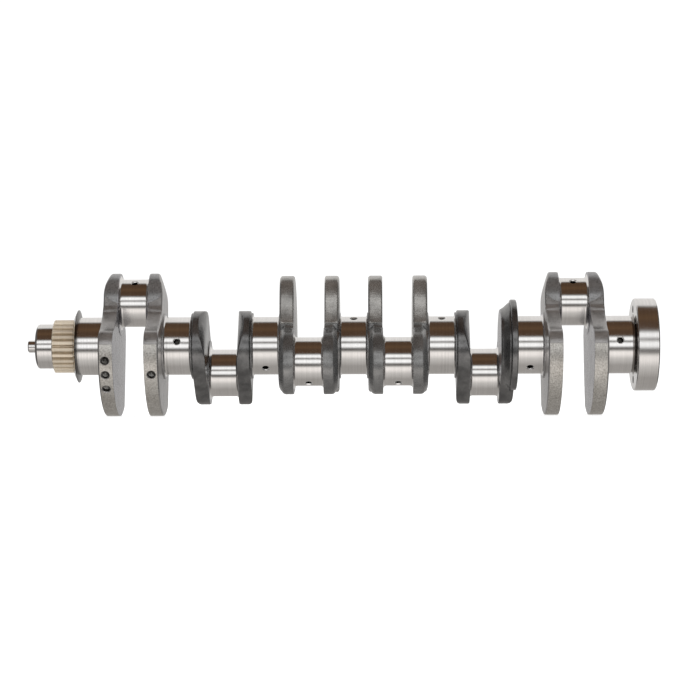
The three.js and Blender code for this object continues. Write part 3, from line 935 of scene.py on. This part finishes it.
def gear_piece():
    x0, x1 = cad_span("timing_gear")
    angle, r = gear_outline().T
    chamfer = 0.5
    face_r = 30.0

    def toothed(x, inset):
        return x, r - inset

    def plain(x, radius):
        return x, np.full_like(r, radius)

    rings = [plain(x0, FIT_R), plain(x0, face_r), toothed(x0, chamfer), toothed(x0 + chamfer, 0.0)]
    rings += [toothed(x, 0.0) for x in np.linspace(x0 + 4, x1 - 4, 6)]
    rings += [toothed(x1 - chamfer, 0.0), toothed(x1, chamfer), plain(x1, face_r), plain(x1, FIT_R)]
    rings.append(rings[0])
    rows = []
    for x, radius in rings:
        y, z = -radius * np.sin(angle), radius * np.cos(angle)
        rows.append(np.stack([np.full_like(r, x), y, z], axis=-1))
    sheet = Sheet()
    sheet.grid(rows, closed=True)
    hand_in(sheet.make("timing_gear_toothed", [GEAR], 24.0), "gear_steel", "timing_gear")


gear_piece()

# ---- Flywheel flange ----
FLANGE_R, PILOT_R, PILOT_DEPTH = 68.5, 26.0, 20.0
BOLTS, BOLT_R, BOLT_RING_R = 8, 6.0, 52.0
FRONT_ROUND = (2.2, 3.0)  # the round of the flange's front edge, along the axis and across it
COLUMNS_PER_BOLT = 24
BOLT_REACH = 5  # half of the side of the square that is left open for a bolt hole
FACE_PITCH = 1.7  # the height of a face's small squares
THREADS, THREAD_DEPTH = 14, 0.55


def front_round(r):
    """How far the flange's front lies behind its face at the radius r."""
    depth, height = FRONT_ROUND
    share = np.clip((np.asarray(r, float) - (FLANGE_R - height)) / height, 0, 1)
    return depth * (1 - np.sqrt(1 - share ** 2))


def bolt_square(sheet, x, outwards, bolt_angle, step, chamfer, shift):
    """The square of a flange face round a bolt hole, and the hole's mouth."""
    square = square_loop(BOLT_REACH)
    around = bolt_angle + square[:, 0] * step
    away = BOLT_RING_R + square[:, 1] * FACE_PITCH
    y, z = -away * np.sin(around), away * np.cos(around)
    edge = np.stack([np.full(len(around), x), y, z], axis=-1)
    middle = np.array([x, -BOLT_RING_R * math.sin(bolt_angle), BOLT_RING_R * math.cos(bolt_angle)])
    spoke = edge - middle
    spoke /= np.linalg.norm(spoke, axis=1, keepdims=True)
    rim = middle + spoke * (BOLT_R + chamfer)
    rings = [edge * (1 - k) + rim * k for k in np.linspace(0, 1, 4)]
    lower = middle + spoke * BOLT_R - [outwards * chamfer, 0, 0]
    for ring in rings:
        ring[:, 0] += shift(np.hypot(ring[:, 1], ring[:, 2]))
    lower[:, 0] += shift(np.hypot(lower[:, 1], lower[:, 2]))
    sheet.grid(rings, closed=True, flip=outwards > 0)
    sheet.grid([rings[-1], lower], closed=True, flip=outwards > 0)
    return middle, spoke, lower


def flange_face(sheet, x, outwards, inner_rows, chamfer, shift, loops):
    """A ring of small squares, with those round the bolt holes left to bolt_square. shift says how
    far the face lies behind x at a radius, and loops collects the holes' mouths."""
    columns = COLUMNS_PER_BOLT * BOLTS
    step = 2 * math.pi / columns
    angles = step * np.arange(columns)
    radii = BOLT_RING_R + FACE_PITCH * np.arange(-inner_rows, 9)
    face = lathe_rows([(x + float(shift(r)), r) for r in radii], AXIS, angles)
    taken = np.zeros((len(radii) - 1, columns), bool)
    for bolt in range(BOLTS):
        column = COLUMNS_PER_BOLT * bolt
        open_square(taken, inner_rows, column, BOLT_REACH)
        loops[(bolt, outwards)] = bolt_square(sheet, x, outwards, angles[column], step, chamfer,
                                              shift)
    pierced_grid(sheet, face, taken, outwards > 0)
    return radii[0], radii[-1], angles


def flange_piece():
    x0, x1 = cad_span("rear_flange")
    sheet = Sheet()
    loops = {}
    inner, outer, angles = flange_face(sheet, x0, -1, 5, 0.3, front_round, loops)
    front = [(x0, 0.0), (x0, 30.0), (x0, inner)]
    sheet.grid(lathe_rows(front, AXIS, angles), closed=True)
    heights = FLANGE_R - FRONT_ROUND[1] * (1 - np.sin(np.linspace(0, math.pi / 2, 9)))
    rim = [(x0 + float(front_round(outer)), outer)]
    rim += [(x0 + float(front_round(r)), r) for r in heights if r > outer + 0.1]
    rim += [(x1 - 1.6, FLANGE_R), (x1, FLANGE_R - 1.6), (x1, outer)]
    sheet.grid(lathe_rows(rim, AXIS, angles), closed=True)
    inner, _, angles = flange_face(sheet, x1, 1, 15, 1.0, np.zeros_like, loops)
    bore = [(x1, inner), (x1 - 1.0, PILOT_R), (x1 - PILOT_DEPTH, PILOT_R), (x1 - PILOT_DEPTH, 12.0),
            (x1 - PILOT_DEPTH, 0.0)]
    sheet.grid(lathe_rows(bore, AXIS, angles), closed=True)
    # The bolt holes' threads take the second material, a near-black tone that is painted shade.
    for bolt in range(BOLTS):
        middle, spoke, near = loops[(bolt, -1)]
        far = loops[(bolt, 1)][2]
        rows = [near]
        for k in range(1, 2 * THREADS):
            share = k / (2 * THREADS)
            ring = middle + spoke * (BOLT_R + (THREAD_DEPTH if k % 2 else 0.0))
            ring[:, 0] = near[:, 0] * (1 - share) + far[:, 0] * share
            rows.append(ring)
        rows.append(far)
        sheet.grid(rows, 1, closed=True)
    obj = sheet.make("rear_flange_turned", [TURNED, BORE_SHADE], 26.0)
    hand_in(obj, "ground_steel", "rear_flange")


flange_piece()
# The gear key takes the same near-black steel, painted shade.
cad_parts["gear_key"].data.materials.clear()
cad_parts["gear_key"].data.materials.append(SHADE_STEEL)


# ---- Stage ----
# What polished steel shows of the studio: the tones on the way round the crank, by the direction
# that is seen, in degrees from level at the front (0) over the top (90) to the back (180). White
# strips of light stand in front, with narrow gaps between them, under a dark brown ceiling.
STRIP = PURE
GAP = (0.195, 0.188, 0.18)
SHADE = (0.115, 0.108, 0.102)
CEILING = (0.072, 0.042, 0.025)
BEAM = (0.1, 0.058, 0.032)
WALL = (0.7, 0.685, 0.67)
HAZE = (0.57, 0.56, 0.55)
NEAR_FLOOR = (0.86, 0.82, 0.79)
MID_FLOOR = (0.53, 0.51, 0.49)
FAR_FLOOR = (0.32, 0.305, 0.29)
STUDIO = [
    (-180, HAZE), (-142, FAR_FLOOR), (-88, FAR_FLOOR), (-56, MID_FLOOR), (-38, NEAR_FLOOR),
    (-28, NEAR_FLOOR), (-24, MID_FLOOR), (-18, SHADE), (-12, SHADE), (-4, STRIP), (5, STRIP),
    (11, GAP), (14, GAP), (19, STRIP), (27, STRIP), (33, GAP), (38, CEILING), (54, CEILING),
    (68, BEAM), (86, CEILING), (101, CEILING), (107, GAP), (112, WALL), (160, WALL), (180, HAZE),
]
STEEL_SHINE = 0.84  # how much of what it sees the steel gives back


def studio_round(radius, half_length):
    """A round wall about the crank axis, which only reflections see."""
    degrees = np.arange(-180, 181, 1.0)
    known = [d for d, _ in STUDIO]
    tones = np.array([tone for _, tone in STUDIO]) / STEEL_SHINE
    colors = np.stack([np.interp(degrees, known, tones[:, c]) for c in range(3)], axis=1)
    turn = np.radians(degrees)
    verts = []
    for x in (-half_length, half_length):
        verts += [(x, -radius * math.cos(a), radius * math.sin(a)) for a in turn]
    n = len(degrees)
    faces = [(k, k + 1, n + k + 1, n + k) for k in range(n - 1)]
    mesh = bpy.data.meshes.new("studio_round")
    mesh.from_pydata(verts, [], faces)
    layer = mesh.color_attributes.new("tone", "FLOAT_COLOR", "POINT")
    rgba = np.ones((2 * n, 4))
    rgba[:n, :3] = colors
    rgba[n:, :3] = colors
    layer.data.foreach_set("color", rgba.reshape(-1))
    s = Shader("studio_tones")
    tone = s.node("ShaderNodeAttribute", {"attribute_name": "tone"}).outputs["Color"]
    s.link(tone, s.bsdf.inputs["Emission Color"])
    s.bsdf.inputs["Base Color"].default_value = (0, 0, 0, 1)
    s.bsdf.inputs["Specular IOR Level"].default_value = 0.0
    s.bsdf.inputs["Emission Strength"].default_value = 1.0
    mesh.materials.append(s.material)
    obj = linked("studio_round", mesh)
    obj.visible_camera = False
    obj.visible_diffuse = False
    obj.visible_shadow = False
    obj.visible_transmission = False


studio_round(1.3, 1.25)
FLOOR_Z = CAD_BOX[0][2] - 0.0005
FLOOR_HALF = 9
FLOOR_DARK, FLOOR_LIGHT = (0.4, 0.4, 0.4), (0.44, 0.44, 0.44)
floor_mesh = bpy.data.meshes.new("floor")
square = ((-1, -1), (1, -1), (1, 1), (-1, 1))
corners = [(x * FLOOR_HALF, y * FLOOR_HALF, FLOOR_Z) for x, y in square]
floor_mesh.from_pydata(corners, [], [(0, 1, 2, 3)])
floor = linked("floor", floor_mesh)
pale = Shader("pale_floor")
floor_tone = pale.ramp(pale.noise(3.0), [(0.3, FLOOR_DARK), (0.7, FLOOR_LIGHT)])
pale.finish(floor_tone, 0.7, None, 0.0)
pale.bsdf.inputs["Emission Color"].default_value = (1.0, 1.0, 1.0, 1.0)
pale.bsdf.inputs["Emission Strength"].default_value = 0.8
floor_mesh.materials.append(pale.material)
floor.visible_glossy = False

# The world is white, but reflections see it dark.
world = bpy.data.worlds.new("studio")
world.use_nodes = True
background = world.node_tree.nodes["Background"]
background.inputs["Strength"].default_value = 1.1
light_path = world.node_tree.nodes.new("ShaderNodeLightPath")
tone = world.node_tree.nodes.new("ShaderNodeMix")
tone.data_type = "RGBA"
tone.inputs[6].default_value = (1.0, 1.0, 1.0, 1.0)
tone.inputs[7].default_value = (0.1, 0.094, 0.09, 1.0)
world.node_tree.links.new(light_path.outputs["Is Glossy Ray"], tone.inputs[0])
world.node_tree.links.new(tone.outputs[2], background.inputs["Color"])
bpy.context.scene.world = world


def aim(obj, target, roll=0.0):
    direction = Vector(target) - Vector(obj.location)
    turn = direction.to_track_quat("-Z", "Y").to_matrix().to_4x4()
    obj.rotation_euler = (turn @ Matrix.Rotation(math.radians(roll), 4, "Z")).to_euler()


LIGHT_PLACE, LIGHT_SIZE, LIGHT_POWER = (0, -0.6, 2.2), (3.0, 2.0), 30.0
light_data = bpy.data.lights.new("top_light", "AREA")
light_data.shape = "RECTANGLE"
light_data.size, light_data.size_y = LIGHT_SIZE
light_data.energy = LIGHT_POWER
light = linked("top_light", light_data)
light.location = LIGHT_PLACE
aim(light, (0, 0, 0))
light.visible_glossy = False

CAMERA_PLACE, CAMERA_TARGET = (0.0344, -3.124, 0.0), (-0.0058, 0.0, -0.0067)
CAMERA_ROLL = -0.2  # in degrees
camera_data = bpy.data.cameras.new("camera")
camera = linked("camera", camera_data)
camera_data.lens = 108.0
camera_data.sensor_width = 36.0
camera.location = CAMERA_PLACE
aim(camera, CAMERA_TARGET, CAMERA_ROLL)
bpy.context.scene.camera = camera
bpy.context.scene.view_settings.view_transform = "Standard"
